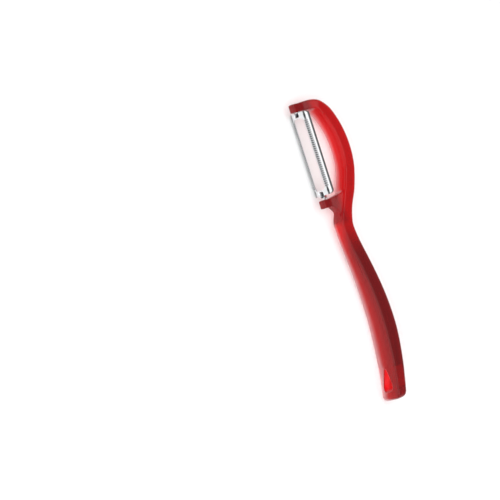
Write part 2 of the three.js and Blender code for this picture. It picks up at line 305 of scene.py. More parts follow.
@dataclass(frozen=True)
class ClearRed:
    """Polished, transparent red plastic."""

    # The front colours are painted light and the side colours painted shade: lit and shaded copies of
    # one red, chosen by which way a face points.
    bow_painted_lit: Triple = (0.82, 0.003, 0.005)
    bow_painted_shaded: Triple = (0.5, 0.002, 0.004)
    grip_front: Triple = (0.54, 0.005, 0.006)
    grip_painted_shaded: Triple = (0.18, 0.003, 0.005)
    # Painted shade: the arms take a deeper copy of the same red.
    arm: Triple = (0.27, 0.003, 0.006)
    # Painted light: the walls of the hanging hole take a brighter copy of the same red.
    hollow: Triple = (0.85, 0.003, 0.006)
    shadow: Triple = (0.97, 0.93, 0.93)
    absorbed: Triple = (0.90, 0.10, 0.13)
    density: float = 60.0
    clearness: float = 0.52
    reflection_level: float = 0.12
    gloss: float = 0.045
    rubbed_gloss: float = 0.11
    refraction: float = 1.5
    # Painted sheen: a pale colour laid where the surface turns away from the eye, in place of the
    # reflection of pale surroundings.
    painted_rim_sheen: Triple = (0.95, 0.78, 0.80)
    painted_rim_sheen_span: Pair = (0.31, 0.68)
    painted_rim_sheen_power: float = 1.4
    painted_rim_sheen_elsewhere: float = 0.25
    # Which way a face points: these choose between the painted lit and painted shaded copies, and how
    # much rim sheen is painted.
    outward: Pair = (0.3, 0.85)
    upward: Pair = (-0.2, 0.5)
    # Where the bow's painted light gives way to the grip's painted shade, and where the arms' painted
    # shade starts.
    neck: Pair = (PIVOT.x - 0.106, PIVOT.x - 0.072)
    foot: Pair = (PIVOT.x - 0.083, PIVOT.x - 0.078)
    arms: Pair = (PIVOT.y - 0.012, PIVOT.y - 0.007)
    hairlines: Streaks = Streaks(300.0, 9000.0, 0.5)
    hairline_depth: float = 0.004
    handling: Clouds = Clouds(140.0, 2.2)
    sinking: Clouds = Clouds(45.0)
    relief: Pair = (0.12, 0.0006)

    def tint_with_painted_light(self, bench: NodeBench) -> Socket:
        """Makes the colour, with light and shade painted into it: painted light on the fronts, the bow
        and the hole's walls, painted shade on the sides, the grip and the arms.

        It takes a painted pale sheen where the surface turns away from the eye, which stands in for
        the reflection of a pale ground in clear plastic.

        Args:
            bench: The bench on the material's tree.

        Returns:
            The colour's output.
        """
        place = bench.add("SeparateXYZ", Vector=bench.add("TexCoord").outputs["Object"])
        foot = bench.step(place.outputs["X"], self.foot)
        arms = bench.maths("MULTIPLY", foot, bench.step(place.outputs["Y"], self.arms))
        hollow = bench.add("Attribute", {"attribute_name": "hollow"}).outputs["Fac"]
        turned = bench.add("SeparateXYZ", Vector=bench.add("TexCoord").outputs["Normal"])
        outward = bench.step(turned.outputs["Y"], self.outward)
        upward = bench.step(turned.outputs["Z"], self.upward)
        front = bench.maths("MULTIPLY", outward, bench.maths("SUBTRACT", 1.0, upward))
        # Painted light on the fronts and painted shade on the sides.
        grip = bench.blend(front, (*self.grip_painted_shaded, 1), (*self.grip_front, 1))
        bow = bench.blend(front, (*self.bow_painted_shaded, 1), (*self.bow_painted_lit, 1))
        # Painted light in the bow and painted shade in the grip, then painted light on the hole's
        # walls.
        body = bench.blend(bench.step(place.outputs["X"], self.neck), grip, bow)
        body = bench.blend(hollow, body, (*self.hollow, 1))
        # Painted sheen at the rims: pale where the surface turns away from the eye.
        facing = bench.add("LayerWeight", Blend=0.5).outputs["Facing"]
        rim = bench.spread(facing, 0.0, 1.0, self.painted_rim_sheen_span)
        pale = bench.maths("POWER", rim, self.painted_rim_sheen_power)
        share = bench.spread(outward, self.painted_rim_sheen_elsewhere, 1.0)
        body = bench.blend(bench.maths("MULTIPLY", pale, share), body, (*self.painted_rim_sheen, 1))
        # Painted shade on the arms.
        return bench.blend(arms, body, (*self.arm, 1))

    def material(self, effects: Effects) -> bpy.types.Material:
        """Builds the material.

        Args:
            effects: The shared node groups.

        Returns:
            The material.
        """
        material, bench, principled, output = new_material("clear_red")
        hairlines = self.hairlines.place(bench, effects)
        fine = bench.maths("MULTIPLY", hairlines, self.handling.place(bench, effects))
        sinking = self.sinking.place(bench, effects)
        relief = bench.maths("MULTIPLY_ADD", hairlines, self.hairline_depth, sinking)
        bench.fill(
            principled,
            Base_Color=self.tint_with_painted_light(bench),
            Roughness=bench.spread(fine, self.gloss, self.rubbed_gloss),
            IOR=self.refraction,
            Transmission_Weight=self.clearness,
            Specular_IOR_Level=self.reflection_level,
            Normal=bench.bump(self.relief, relief),
        )
        lamp_side = bench.add("BsdfTransparent", Color=(*self.shadow, 1))
        chosen = bench.add("MixShader", Fac=bench.add("LightPath").outputs["Is Shadow Ray"])
        bench.feed(chosen.inputs[1], principled.outputs[0])
        bench.feed(chosen.inputs[2], lamp_side.outputs[0])
        inside = bench.add("VolumeAbsorption", Color=(*self.absorbed, 1), Density=self.density)
        bench.fill(output, Surface=chosen.outputs[0], Volume=inside.outputs[0])
        return material


@dataclass(frozen=True)
class StampedSteel:
    """Bright stainless steel strip with ground flutes, with shade painted near black into its flutes,
    its outer edge line, a band beside the slot's ends and its gutters.
    """

    bright: Triple = (0.84, 0.85, 0.86)
    worn: Triple = (0.72, 0.73, 0.75)
    # Painted shade: the near-black colour laid where the shade attribute says, standing in for shade
    # and dark reflections.
    shaded: Triple = (0.003, 0.0035, 0.004)
    gloss: float = 0.16
    matt: float = 0.34
    rough: float = 0.7
    brushed: Streaks = Streaks(70.0, 6500.0)
    ground: Streaks = Streaks(9000.0, 220.0)
    ground_spread: Pair = (0.96, 1.06)
    blotches: Clouds = Clouds(260.0, 1.8)
    relief: Pair = (0.25, 0.00004)

    def material(self, effects: Effects) -> bpy.types.Material:
        """Builds the material.

        Args:
            effects: The shared node groups.

        Returns:
            The material.
        """
        material, bench, principled, _ = new_material("stamped_steel")
        brushed = self.brushed.place(bench, effects)
        ground = self.ground.place(bench, effects)
        shade = bench.add("Attribute", {"attribute_name": "shade"}).outputs["Fac"]
        blotches = self.blotches.place(bench, effects)
        steel = bench.blend(blotches, (*self.bright, 1), (*self.worn, 1))
        lines = bench.spread(ground, *self.ground_spread)
        # Painted shade: the shade attribute, broken by the grinding lines, turns the steel near black
        # and rough.
        painted_shade_share = bench.maths("MULTIPLY", shade, lines, clamp=True)
        polished = bench.spread(brushed, self.gloss, self.matt)
        rough = bench.add("Mix", {"data_type": "FLOAT"}, Factor=painted_shade_share, A=polished, B=self.rough)
        relief = bench.maths("MULTIPLY_ADD", ground, shade, brushed)
        bench.fill(
            principled,
            Base_Color=bench.blend(painted_shade_share, steel, (*self.shaded, 1)),
            Metallic=1.0,
            Roughness=rough.outputs["Result"],
            Normal=bench.bump(self.relief, relief),
        )
        return material


@dataclass(frozen=True)
class PaleTop:
    """The plain pale floor."""

    colour: Triple = (0.97, 0.97, 0.97)
    faded: Triple = (0.94, 0.94, 0.945)
    patches: Clouds = Clouds(3.0)
    roughness: float = 0.6

    def material(self, effects: Effects) -> bpy.types.Material:
        """Builds the material.

        Args:
            effects: The shared node groups.

        Returns:
            The material.
        """
        material, bench, principled, _ = new_material("pale_top")
        patches = self.patches.place(bench, effects)
        shade = bench.blend(patches, (*self.colour, 1), (*self.faded, 1))
        bench.fill(principled, Base_Color=shade, Roughness=self.roughness)
        return material


# ---- Meshes -------------------------------------------------------------------------------------


def smooth(shape: bmesh.types.BMesh) -> None:
    """Turns a shape's faces outwards and shades them smooth.

    Args:
        shape: The shape.
    """
    bmesh.ops.recalc_face_normals(shape, faces=shape.faces)
    for face in shape.faces:
        face.smooth = True


def make_object(name: str, shape: bmesh.types.BMesh) -> bpy.types.Object:
    """Makes an object of a shape, in place.

    Args:
        name: The object's name.
        shape: The shape, which this frees.

    Returns:
        The object.
    """
    mesh = bpy.data.meshes.new(name)
    shape.to_mesh(mesh)
    shape.free()
    made = bpy.data.objects.new(name, mesh)
    bpy.context.scene.collection.objects.link(made)
    return made


class Cage:
    """Points and quads that a subdivision surface rounds off."""

    def __init__(self) -> None:
        """Starts with nothing in it."""
        self.points: list[Vector] = []
        self.hollow: list[float] = []
        self.quads: list[tuple[int, ...]] = []

    def ring(self, points: Sequence[Vector], hollow: float = 0.0) -> list[int]:
        """Adds points.

        Args:
            points: The points, in order.
            hollow: 1 if they lie in the wall of a hole.

        Returns:
            Their numbers.
        """
        first = len(self.points)
        self.points += [point.copy() for point in points]
        self.hollow += [hollow] * len(points)
        return list(range(first, len(self.points)))

    def bridge(self, first: Sequence[int], second: Sequence[int], skip: Sequence[int] = ()) -> None:
        """Joins two closed rings by quads.

        Args:
            first: One ring's point numbers.
            second: The other's, matched one to one.
            skip: The places round the ring that stay open.
        """
        count = len(first)
        for i in range(count):
            if i not in skip:
                after = (i + 1) % count
                self.quads.append((first[i], first[after], second[after], second[i]))

    def cap(self, ring: Sequence[int], across: int, bulge: Vector) -> None:
        """Closes a ring with a grid of quads.

        Args:
            ring: The ring's point numbers, starting at a corner.
            across: How many quads lie along the ring's first side.
            bulge: How far the cap's middle stands out.
        """
        down = len(ring) // 2 - across
        grid = [[0] * (across + 1) for _ in range(down + 1)]
        for i in range(across + 1):
            grid[0][i] = ring[i]
            grid[down][i] = ring[2 * across + down - i]
        for i in range(down + 1):
            grid[i][across] = ring[across + i]
            grid[i][0] = ring[-i]
        corners = [self.points[grid[i][j]] for i, j in ((0, 0), (0, -1), (-1, 0), (-1, -1))]
        for i in range(1, down):
            for j in range(1, across):
                u, v = j / across, i / down
                top = corners[0].lerp(corners[1], u)
                bottom = corners[2].lerp(corners[3], u)
                rise = bulge * (1 - (2 * u - 1) ** 2) * (1 - (2 * v - 1) ** 2)
                grid[i][j] = self.ring([top.lerp(bottom, v) + rise])[0]
        for i in range(down):
            for j in range(across):
                self.quads.append((grid[i][j], grid[i][j + 1], grid[i + 1][j + 1], grid[i + 1][j]))

    def object(self, name: str, levels: int) -> bpy.types.Object:
        """Makes the object, in place.

        Args:
            name: The object's name.
            levels: How many times it is subdivided.

        Returns:
            The object.
        """
        shape = bmesh.new()
        hollow_layer = shape.verts.layers.float.new("hollow")
        corners = [shape.verts.new(PIVOT + point * MM) for point in self.points]
        for corner, hollow in zip(corners, self.hollow):
            corner[hollow_layer] = hollow
        for quad in self.quads:
            shape.faces.new([corners[i] for i in quad])
        loose = [corner for corner in shape.verts if not corner.link_faces]
        bmesh.ops.delete(shape, geom=loose, context="VERTS")
        smooth(shape)
        made = make_object(name, shape)
        rounding = made.modifiers.new("rounding", "SUBSURF")
        rounding.levels = levels
        rounding.render_levels = levels
        return made


def border(patch: Sequence[Sequence[int]]) -> list[int]:
    """Lists the points round a patch of a grid.

    Args:
        patch: The patch's rows of point numbers.

    Returns:
        The numbers in order, starting at the middle of the first row.
    """
    middle = len(patch[0]) // 2
    loop = list(patch[0][middle:])
    loop += [row[-1] for row in patch[1:-1]]
    loop += list(patch[-1][::-1])
    loop += [row[0] for row in patch[-2:0:-1]]
    return loop + list(patch[0][:middle])


def along(points: Sequence[Vector], number: float) -> Vector:
    """Finds a point on the smooth curve through some points.

    Args:
        points: The points that the curve passes.
        number: A place on it: 1.5 is between the second and the third point.

    Returns:
        The point.
    """
    i = min(int(number), len(points) - 2)
    share = number - i
    start, end = points[i], points[i + 1]
    before = points[i - 1] if i else start * 2 - end
    after = points[i + 2] if i + 2 < len(points) else end * 2 - start
    leave, arrive = (end - before) / 2, (after - start) / 2
    return (
        start * (2 * share**3 - 3 * share**2 + 1)
        + leave * (share**3 - 2 * share**2 + share)
        + end * (3 * share**2 - 2 * share**3)
        + arrive * (share**3 - share**2)
    )


def mix(first: float, second: float, share: float) -> float:
    """Returns the number that lies a share of the way from first to second."""
    return first + (second - first) * share


def spot(x: float, y: float, z: float = 0.0) -> Vector:
    """Returns a point, by default in the handle's middle plane."""
    return Vector((x, y, z))


def ease(share: float) -> float:
    """Returns a share that starts and stops softly."""
    return share * share * (3 - 2 * share)


@dataclass(frozen=True)
class Section:
    """A cross-section: a rounded rectangle between a front and a back point in the middle plane."""

    WIDTH_LIMIT: ClassVar[float] = 0.4
    FRONT_LIMIT: ClassVar[float] = 0.25
    BACK_LIMIT: ClassVar[float] = 0.35

    front: Vector
    back: Vector
    width: float
    front_edge: float = 1.0
    back_edge: float = 2.0
    crown: float = 0.12

    @property
    def middle(self) -> Vector:
        """The point halfway from front to back."""
        return (self.front + self.back) / 2

    def bulge(self, z: float) -> float:
        """Returns how far the front and back faces stand out at a distance from the middle plane."""
        return self.crown * self.width * (1 - (2 * z / self.width) ** 2)

    def ring(self, columns: int, inset: float = 0.0) -> list[Vector]:
        """Lays the cage's points round the section, from its front corner at low Z.

        Args:
            columns: How many quads lie across the front, and across the back: 4 or 6.
            inset: How far the ring is set in.

        Returns:
            The points: the front across, the side back, the back across, the side forward.
        """
        inward = (self.back - self.front).normalized()
        depth = (self.back - self.front).length - 2 * inset
        half = self.width / 2 - inset
        near = min(self.front_edge, half * self.WIDTH_LIMIT, depth * self.FRONT_LIMIT)
        far = min(self.back_edge, half * self.WIDTH_LIMIT, depth * self.BACK_LIMIT)
        start = self.front + inward * inset

        def across(edge: float) -> list[float]:
            """Returns the points' heights between the corners of a face."""
            inner = [half - edge, half * 0.5, 0.0] if columns == 6 else [half - edge, 0.0]
            return [-z for z in inner] + inner[-2::-1]

        front = [start - inward * self.bulge(z) + spot(0, 0, z) for z in across(near)]
        back = [start + inward * (depth + self.bulge(z)) + spot(0, 0, z) for z in across(far)]
        sides = [near, depth / 2, depth - far]
        low = [start + inward * into + spot(0, 0, -half) for into in (0, *sides, depth)]
        high = [point + spot(0, 0, 2 * half) for point in low]
        return [low[0], *front, *high, *back[::-1], low[-1], *low[-2:0:-1]]


END_ANGLES = np.radians([0, 30, 60, 90])
END_BULGE = 0.08
APRON = 0.55


def rounded_end(
    cage: Cage, section: Section, outward: Vector, radius: float, columns: int
) -> list[int]:
    """Rounds off and closes the end of a row of sections.

    Args:
        cage: The cage to add to.
        section: The last section.
        outward: The direction in which the row ends.
        radius: The end's edge radius.
        columns: How many quads lie across the front.

    Returns:
        The point numbers of the ring where the rounding starts.
    """
    rings = []
    for angle in END_ANGLES:
        back = outward * (-radius * (1 - math.sin(angle)))
        inset = radius * (1 - math.cos(angle))
        rings.append(cage.ring([point + back for point in section.ring(columns, inset)]))
    for first, second in zip(rings, rings[1:]):
        cage.bridge(first, second)
    cage.cap(rings[-1], columns, outward * radius * END_BULGE)
    return rings[0]


def tunnel(
    cage: Cage,
    mouths: tuple[list[int], list[int]],
    outline: Outline,
    rim_width: float,
    skins: tuple[Skin, Skin],
) -> None:
    """Cuts a tunnel between two openings of a cage.

    Args:
        cage: The cage.
        mouths: The two openings' borders, matched one to one.
        outline: Its outline in the faces' plane, from a point's number and outset.
        rim_width: The width of the rim where it meets the faces.
        skins: For each opening, a function that puts a place of the outline on its face.
    """
    steps = range(len(mouths[0]))
    rims = [[skin(*outline(i, 0)) for i in steps] for skin in skins]
    throats = []
    for mouth, skin, rim, other in zip(mouths, skins, rims, rims[::-1]):
        collar = [skin(*outline(i, rim_width)) for i in steps]
        apron = [cage.points[mouth[i]].lerp(collar[i], APRON) for i in steps]
        throat = [near + (far - near).normalized() * rim_width for near, far in zip(rim, other)]
        rows = [mouth, cage.ring(apron), cage.ring(collar), cage.ring(rim), cage.ring(throat, 1)]
        for first, second in zip(rows, rows[1:]):
            cage.bridge(first, second)
        throats.append(rows[-1])
    waist = cage.ring([near.lerp(far, 0.5) for near, far in zip(*rims)], 1)
    cage.bridge(throats[0], waist)
    cage.bridge(waist, throats[1])


# ---- Handle -------------------------------------------------------------------------------------


GRIP_SHARES = (0, 0.085, 0.17, 0.28, 0.4, 0.52, 0.645, 0.755, 0.86, 0.94, 1)
FOOT_PLACES = (12.65, 13.3, 13.925, 14.55, 15.175, 15.8, 16.4, 17.0)
FRONT = (1, 2, 3, 4)
BACK = (11, 12, 13, 14)


@dataclass(frozen=True)
class Handle:
    """The one-piece handle: two arms, the bow between them, the neck, and the grip with its hole."""

    pivot_span: float = 65.2
    arm_thickness: float = 5.2
    arm_width: float = 4.8
    arm_reach: float = 5.2
    arm_edge: float = 0.5
    arm_crown: float = 0.07
    tip_radius: float = 1.2
    bow_clearance: float = 23.9
    bow_shoulder: float = 12.6
    bow_depth: float = 8.1
    bow_width: float = 11.0
    neck_drop: float = 20.6
    neck_front: float = 3.9
    neck_depth: float = 9.3
    neck_width: float = 9.0
    grip_length: float = 135.0
    grip_front: float = 10.0
    grip_depth: float = 10.5
    grip_width: float = 15.6
    end_front: float = 1.6
    end_depth: float = 7.3
    end_radius: float = 3.0
    hole_length: float = 14.6
    hole_width: float = 7.8
    hole_wall: float = 6.0
    hole_point_radius: float = 0.9
    hole_base_radius: float = 2.4
    hole_rim: float = 0.45
    hole_margin: float = 1.7
    journal_hole: float = 1.5
    journal_rim: float = 0.12
    journal_margin: float = 0.45
    bow_top: float = 0.74
    bow_bottom: float = -0.84
    foot_flare: float = 0.12
    shin_drop: float = 0.3
    shin_edge: float = 0.7
    knee: float = 0.4
    knee_pull: float = 0.75
    knee_sink: float = 0.1
    finish: ClearRed = ClearRed()

    @property
    def end_x(self) -> float:
        """Where the grip ends."""
        return -self.pivot_span - self.grip_length

    @property
    def neck_x(self) -> float:
        """Where the neck is."""
        return -self.pivot_span - self.neck_drop

    def arm_and_corner(self) -> list[Section]:
        """Lists the upper arm's sections below the blade's axis, and the bow's upper corner.

        Returns:
            The sections.
        """
        inner, outer = -self.arm_thickness / 2, self.arm_thickness / 2
        shoulder = self.bow_shoulder
        corner_back = spot(outer - 1.3, -shoulder - self.bow_depth * 0.63)
        bend_back = self.bow_section(self.bow_top).back.lerp(corner_back, 0.45)
        # Each: the front, the back, the share of the bow's full width, and the two edge radii.
        rows = (
            (spot(inner, -shoulder * 0.28), spot(outer, -shoulder * 0.28), 0.02, 0.6, 0.7),
            (spot(inner, -shoulder * 0.6), spot(outer, -shoulder * 0.6), 0.2, 0.8, 1.2),
            (spot(inner, -shoulder * 0.9), spot(outer, -shoulder * 1.04), 0.6, 1.0, 2.0),
            (spot(inner - 0.7, -shoulder - 0.7), corner_back, 0.88, 1.0, 2.0),
            (self.bow_section(0.9).front, bend_back, 1.0, 1.0, 2.0),
        )
        return [
            Section(front, back, mix(self.arm_width, self.bow_width, wide), *edges)
            for front, back, wide, *edges in rows
        ]

    def bow_section(self, share: float) -> Section:
        """Finds a section of the bow, which lies between two concentric arcs.

        Args:
            share: Its place: 1 at the upper shoulder, -1 at the lower one.

        Returns:
            The section.
        """
        chord = (self.pivot_span - self.arm_thickness) / 2
        rise = self.bow_clearance - self.bow_shoulder
        inner = (chord**2 + rise**2) / (2 * rise)
        centre = spot(-self.pivot_span / 2, inner - self.bow_clearance)
        angle = math.asin(chord / inner) * share
        away = spot(math.sin(angle), -math.cos(angle))
        return Section(centre + away * inner, centre + away * (inner + self.bow_depth), self.bow_width)

    def junction(self) -> list[Section]:
        """Lists the sections between the bow and the neck.

        Returns:
            The sections.
        """
        start = self.bow_section(self.bow_bottom)
        neck = self.grip()[0]
        # How far the front and the back stand out from a straight run, by share of the way.
        sags = {0.2: (0.8, 1.2), 0.42: (1.2, 2.1), 0.68: (2.5, 2.0), 0.86: (1.7, 1.3)}
        return [
            Section(
                start.front.lerp(neck.front, share) + spot(0, front),
                start.back.lerp(neck.back, share) + spot(0, back),
                mix(self.bow_width, self.neck_width, share),
            )
            for share, (front, back) in sags.items()
        ]

    def grip(self) -> list[Section]:
        """Lists the grip's sections, from the neck to the end.

        Returns:
            The sections.
        """
        neck, belly, end = self.neck_front, self.grip_front, self.end_front
        deep, shallow = self.grip_depth, self.end_depth
        # Each: the front, the depth, the share of the full width, and the lean along X.
        rows = (
            (neck, self.neck_depth, 0, 0),
            (mix(neck, belly, 0.17), self.neck_depth, 0.12, -0.8),
            (mix(neck, belly, 0.46), self.neck_depth, 0.34, -0.9),
            (mix(neck, belly, 0.76), mix(self.neck_depth, deep, 0.3), 0.58, -0.7),
            (mix(neck, belly, 0.95), mix(self.neck_depth, deep, 0.8), 0.78, -0.4),
            (belly, deep, 0.91, 0.1),
            (mix(end, belly, 0.91), deep, 0.985, 0.6),
            (mix(end, belly, 0.75), mix(shallow, deep, 0.6), 1, 1.1),
            (mix(end, belly, 0.49), mix(shallow, deep, 0.2), 1, 1),
            (mix(end, belly, 0.22), mix(shallow, deep, 0.07), 1, 0.5),
            (end, shallow, 1, 0),
        )
        sections = []
        for share, (front, depth, wide, lean) in zip(GRIP_SHARES, rows):
            x = mix(self.neck_x, self.end_x, share)
            width = mix(self.neck_width, self.grip_width, wide)
            sections.append(Section(spot(x + lean, -front), spot(x - lean, -front - depth), width))
        return sections

    def between(self, sections: Sequence[Section], number: float) -> Section:
        """Finds a section between others.

        Args:
            sections: The known sections, in order.
            number: Its place in their row.

        Returns:
            The section.
        """
        widths = [spot(0, section.width) for section in sections]
        return Section(
            along([section.front for section in sections], number),
            along([section.back for section in sections], number),
            along(widths, number).y,
        )

    def hole_point(self, i: int, outset: float) -> Pair:
        """Finds a point on the hanging hole's outline, a triangle with round corners.

        Args:
            i: The point's number, from 0 at the point of the triangle to 15.
            outset: How far outside the outline it lies.

        Returns:
            Its X and Z.
        """
        if i > 8:
            x, z = self.hole_point(16 - i, outset)
            return x, -z
        base = self.end_x + self.hole_wall
        tip_x = base + self.hole_length - self.hole_point_radius
        corner_x = base + self.hole_base_radius
        corner_z = self.hole_width / 2 - self.hole_base_radius
        run = tip_x - corner_x
        narrowing = self.hole_base_radius - self.hole_point_radius
        lift = math.asin(narrowing / math.hypot(run, corner_z))
        turn = math.pi / 2 - math.atan2(corner_z, run) - lift

        def on_arc(x: float, z: float, radius: float, angle: float, step: float) -> Pair:
            """Returns a point that the subdivision pulls in onto an arc."""
            reach = (radius + outset) * 3 / (2 + math.cos(step))
            return x + reach * math.cos(angle), z + reach * math.sin(angle)

        if i <= 2:
            return on_arc(tip_x, 0, self.hole_point_radius, turn * i / 2, turn / 2)
        if i == 8:
            return base - outset, 0.0
        step = (math.pi - turn) / 2
        if i >= 5:
            return on_arc(corner_x, corner_z, self.hole_base_radius, turn + step * (i - 5), step)
        first, last = self.hole_point(2, outset), self.hole_point(5, outset)
        share = (i - 2) / 3
        return mix(first[0], last[0], share), mix(first[1], last[1], share)

    def journal_point(self, count: int) -> Outline:
        """Makes the outline of a round journal hole.

        Args:
            count: How many points it has.

        Returns:
            A function from a point's number and outset to its Y and Z.
        """
        step = 2 * math.pi / count

        def point(i: int, outset: float) -> Pair:
            """Returns a point that the subdivision pulls in onto the circle."""
            reach = (self.journal_hole + outset) * 3 / (2 + math.cos(step))
            return reach * math.cos(step * i), reach * math.sin(step * i)

        return point

    def arm_section(self, x: float, y: float) -> Section:
        """Cuts the straight part of an arm square.

        Args:
            x: The arm's middle plane.
            y: The cut's height.

        Returns:
            The section.
        """
        front, back = (spot(x + side * self.arm_thickness / 2, y) for side in (-1, 1))
        edge = self.arm_edge
        return Section(front, back, self.arm_width, edge, edge, self.arm_crown)

    def arm_skins(self, x: float) -> tuple[Skin, Skin]:
        """Makes the functions that put a place on an arm's two faces.

        Args:
            x: The arm's middle plane.

        Returns:
            The functions from Y and Z to a point, for the face at low X and the face at high X.
        """
        section = self.arm_section(x, 0)
        half = self.arm_thickness / 2
        return (
            lambda y, z: spot(x - half - section.bulge(z), y, z),
            lambda y, z: spot(x + half + section.bulge(z), y, z),
        )

    def journal_rows(self) -> np.ndarray:
        """Returns the heights of the five rings that an arm's journal hole lies between."""
        return np.linspace(1.0, -1.0, 5) * (self.journal_hole + self.journal_margin)

    def arm_grid(self, cage: Cage, x: float, columns: int) -> list[list[int]]:
        """Builds an arm's rounded tip and the rings down past its journal hole.

        Args:
            cage: The cage to add to.
            x: The arm's middle plane.
            columns: How many quads lie across its faces.

        Returns:
            The rings' point numbers: the tip's, then the five round the hole.
        """
        top = self.arm_section(x, self.arm_reach)
        rings = [rounded_end(cage, top, spot(0, 1), self.tip_radius, columns)]
        for y in self.journal_rows():
            rings.append(cage.ring(self.arm_section(x, y).ring(columns)))
        return rings

    def drill(self, cage: Cage, rings: list[list[int]], x: float, columns: int) -> None:
        """Cuts an arm's journal hole.

        Args:
            cage: The cage to add to.
            rings: The five rings round the hole.
            x: The arm's middle plane.
            columns: How many quads lie across its faces.
        """
        turn = 2 * columns + 4
        near = border([ring[1:columns] for ring in rings])
        far = border([[ring[turn - j] for j in range(1, columns)] for ring in rings])
        outline = self.journal_point(len(near))
        tunnel(cage, (near, far), outline, self.journal_rim, self.arm_skins(x))

    def lower_arm(self, cage: Cage, patch: list[list[int]]) -> None:
        """Builds the lower arm and runs its foot into the front of the junction.

        Args:
            cage: The cage to add to.
            patch: The opening in the junction's front that the arm grows from.
        """
        x = -self.pivot_span
        rings = self.arm_grid(cage, x, 4)
        half = self.arm_thickness / 2
        drop = self.foot_flare * (self.neck_drop - half)
        shin_y = -self.neck_front - self.shin_drop
        shin = Section(
            spot(x - half - drop, shin_y),
            spot(x + half + 0.1, shin_y),
            mix(self.arm_width, self.bow_width, self.foot_flare),
            self.shin_edge,
            self.shin_edge,
        ).ring(4)
        foot = [*patch[4], *(patch[i][4] for i in (3, 2, 1)), *patch[0][::-1]]
        foot += [patch[i][0] for i in (1, 2, 3)]
        ends = [cage.points[i] for i in foot]
        front = [cage.points[patch[i][2]] for i in range(4, -1, -1)]
        levels = [point.x for point in front], [point.y for point in front]
        rows = []
        for share in (0.25, 0.5, 0.75):
            row = []
            for start, end in zip(shin, ends):
                knee = start.lerp(end, self.knee)
                knee.y = float(np.interp(knee.x, *levels)) - self.knee_sink
                pull = self.knee_pull
                pulls = start, start.lerp(knee, pull), end.lerp(knee, pull), end
                weights = [math.comb(3, k) * share**k * (1 - share) ** (3 - k) for k in range(4)]
                row.append(sum((at * weight for at, weight in zip(pulls, weights)), Vector()))
            rows.append(cage.ring(row))
        rows = [*rings, cage.ring(shin), *rows, foot]
        for i, (first, second) in enumerate(zip(rows, rows[1:])):
            cage.bridge(first, second, (1, 2, 9, 10) if 1 <= i <= 4 else ())
        self.drill(cage, rings[1:], x, 4)

    def build(self) -> bpy.types.Object:
        """Builds the handle's mesh.

        Returns:
            The handle's object.
        """
        cage = Cage()
        columns = 6
        rows = self.arm_grid(cage, 0, columns)
        open_arm = range(1, 5)
        bow = [self.bow_section(mix(self.bow_top, self.bow_bottom, i / 8)) for i in range(9)]
        known = [*self.arm_and_corner(), *bow, *self.junction(), *self.grip()]
        # The sections stand as they are but for those at the lower arm's foot and at the hole.
        above_foot, grip_start, hole_zone = 12, len(known) - len(GRIP_SHARES), 25
        rows += [cage.ring(section.ring(columns)) for section in known[:above_foot]]
        foot_start = len(rows) + 1
        rows += [cage.ring(self.between(known, place).ring(columns)) for place in FOOT_PLACES]
        rows += [cage.ring(section.ring(columns)) for section in known[grip_start:hole_zone]]
        hole_start = len(rows)
        base = self.end_x + self.hole_wall
        margin = self.hole_margin
        for x in np.linspace(base + self.hole_length + margin, base - margin, 5):
            share = (x - self.neck_x) / (self.end_x - self.neck_x)
            place = grip_start + float(np.interp(share, GRIP_SHARES, range(len(GRIP_SHARES))))
            rows.append(cage.ring(self.between(known, place).ring(columns)))
        last = known[-1]
        outward = (last.middle - known[-2].middle).normalized()
        rows.append(rounded_end(cage, last, outward, self.end_radius, columns))
        open_foot = range(foot_start, foot_start + 4)
        open_hole = range(hole_start, hole_start + 4)
        for i, (first, second) in enumerate(zip(rows, rows[1:])):
            skip: tuple[int, ...] = FRONT if i in open_foot else ()
            if i in open_arm or i in open_hole:
                skip = FRONT + BACK
            cage.bridge(first, second, skip)
        self.drill(cage, rows[1:6], 0, columns)
        self.lower_arm(cage, [row[1:6] for row in rows[foot_start : foot_start + 5]])
        hole = rows[hole_start : hole_start + 5]
        near = border([row[1:6] for row in hole])
        far = border([[row[16 - j] for j in range(1, 6)] for row in hole])
        tunnel(cage, (near, far), self.hole_point, self.hole_rim, self.grip_skins(known))
        return cage.object("peeler_handle", 3)

    def grip_skins(self, known: Sequence[Section]) -> tuple[Skin, Skin]:
        """Makes the functions that put a place on the grip's front and back.

        Args:
            known: All sections, in order.

        Returns:
            The functions from X and Z to a point, for the front and the back.
        """
        places = np.linspace(len(known) - 5, len(known) - 1, 60)[::-1]
        tail = [self.between(known, place) for place in places]
        fronts = [[s.front.x for s in tail], [s.front.y for s in tail]]
        backs = [[s.back.x for s in tail], [s.back.y for s in tail]]
        bulge = known[-2].bulge
        return (
            lambda x, z: spot(x, float(np.interp(x, *fronts)) + bulge(z), z),
            lambda x, z: spot(x, float(np.interp(x, *backs)) - bulge(z), z),
        )

    def make(self, effects: Effects) -> bpy.types.Object:
        """Builds the handle, dresses it and joins it to the frame.

        Args:
            effects: The shared node groups.

        Returns:
            The handle's object.
        """
        handle = self.build()
        handle.data.materials.append(self.finish.material(effects))
        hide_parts("handle")
        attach(handle, Body.HANDLE.value)
        return handle


# ---- Blade --------------------------------------------------------------------------------------


